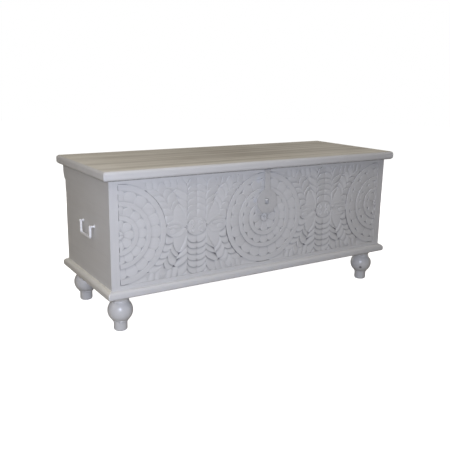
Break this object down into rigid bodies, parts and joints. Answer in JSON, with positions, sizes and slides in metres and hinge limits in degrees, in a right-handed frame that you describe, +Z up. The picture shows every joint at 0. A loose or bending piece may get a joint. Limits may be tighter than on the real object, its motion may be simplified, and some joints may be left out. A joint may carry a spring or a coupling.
{
  "type": "carved wooden chest",
  "caption": "Low carved storage chest with a hinged plank lid, a hanging hasp over a staple, drop handles on both ends and turned ball feet.",
  "frame": {"origin": "on the floor, under the middle of the whole chest", "axes": "+Z up, +X along the chest's length, the carved front towards -Y"},
  "size_m": [1.161, 0.4518, 0.513],
  "materials": {
    "painted_wood": "satin",
    "bare_wood": "matte",
    "painted_iron": "satin",
    "screw_steel": "satin"
  },
  "bodies": {
    "carcass": {"carved_front_panel": "painted_wood", "front_left_stile": "painted_wood", "front_right_stile": "painted_wood", "front_top_rail": "painted_wood", "front_bottom_rail": "painted_wood", "left_side_panel": "painted_wood", "right_side_panel": "painted_wood", "back_panel": "painted_wood", "hinge_rail": "painted_wood", "base_front": "painted_wood", "base_back": "painted_wood", "base_left": "painted_wood", "base_right": "painted_wood", "foot_front_left": "painted_wood", "foot_front_right": "painted_wood", "foot_back_left": "painted_wood", "foot_back_right": "painted_wood", "floor_board": "bare_wood", "corner_post_front_left": "bare_wood", "corner_post_front_right": "bare_wood", "corner_post_back_left": "bare_wood", "corner_post_back_right": "bare_wood", "front_staple": "painted_iron", "left_handle_front_post": "painted_iron", "left_handle_back_post": "painted_iron", "left_hinge_lower_leaf": "painted_iron", "left_hinge_pin": "painted_iron", "right_handle_front_post": "painted_iron", "right_handle_back_post": "painted_iron", "right_hinge_lower_leaf": "painted_iron", "right_hinge_pin": "painted_iron", "base_screws": "screw_steel", "hinge_rail_screws": "screw_steel", "hinge_lower_screws": "screw_steel", "left_handle_nuts": "screw_steel", "right_handle_nuts": "screw_steel"},
    "lid": {"lid_front_plank": "painted_wood", "lid_middle_plank": "painted_wood", "lid_back_plank": "painted_wood", "lid_left_cleat": "bare_wood", "lid_right_cleat": "bare_wood", "lid_cleat_screws": "screw_steel", "left_hinge_upper_leaf": "painted_iron", "right_hinge_upper_leaf": "painted_iron", "hinge_upper_screws": "screw_steel", "hasp_hinge_plate": "painted_iron", "hasp_hinge_pin": "painted_iron", "hasp_hinge_screws": "screw_steel"},
    "hasp": {"hasp": "painted_iron"},
    "left_bail": {"left_bail": "painted_iron"},
    "right_bail": {"right_bail": "painted_iron"}
  },
  "joints": [
    {"name": "lid_hinge", "type": "hinge", "parent": "carcass", "child": "lid", "pos_m": [0, 0.22243, 0.48125], "axis": [-1, 0, 0], "range_deg": [0, 100]},
    {"name": "hasp_swing", "type": "hinge", "parent": "lid", "child": "hasp", "pos_m": [0, -0.21393, 0.4785], "axis": [-1, 0, 0], "range_deg": [-4, 115]},
    {"name": "left_bail_swing", "type": "hinge", "parent": "carcass", "child": "left_bail", "pos_m": [-0.5675, -0.02042, 0.32], "axis": [0, 1, 0], "range_deg": [-8, 165]},
    {"name": "right_bail_swing", "type": "hinge", "parent": "carcass", "child": "right_bail", "pos_m": [0.5675, -0.02042, 0.32], "axis": [0, -1, 0], "range_deg": [-8, 165]}
  ]
}
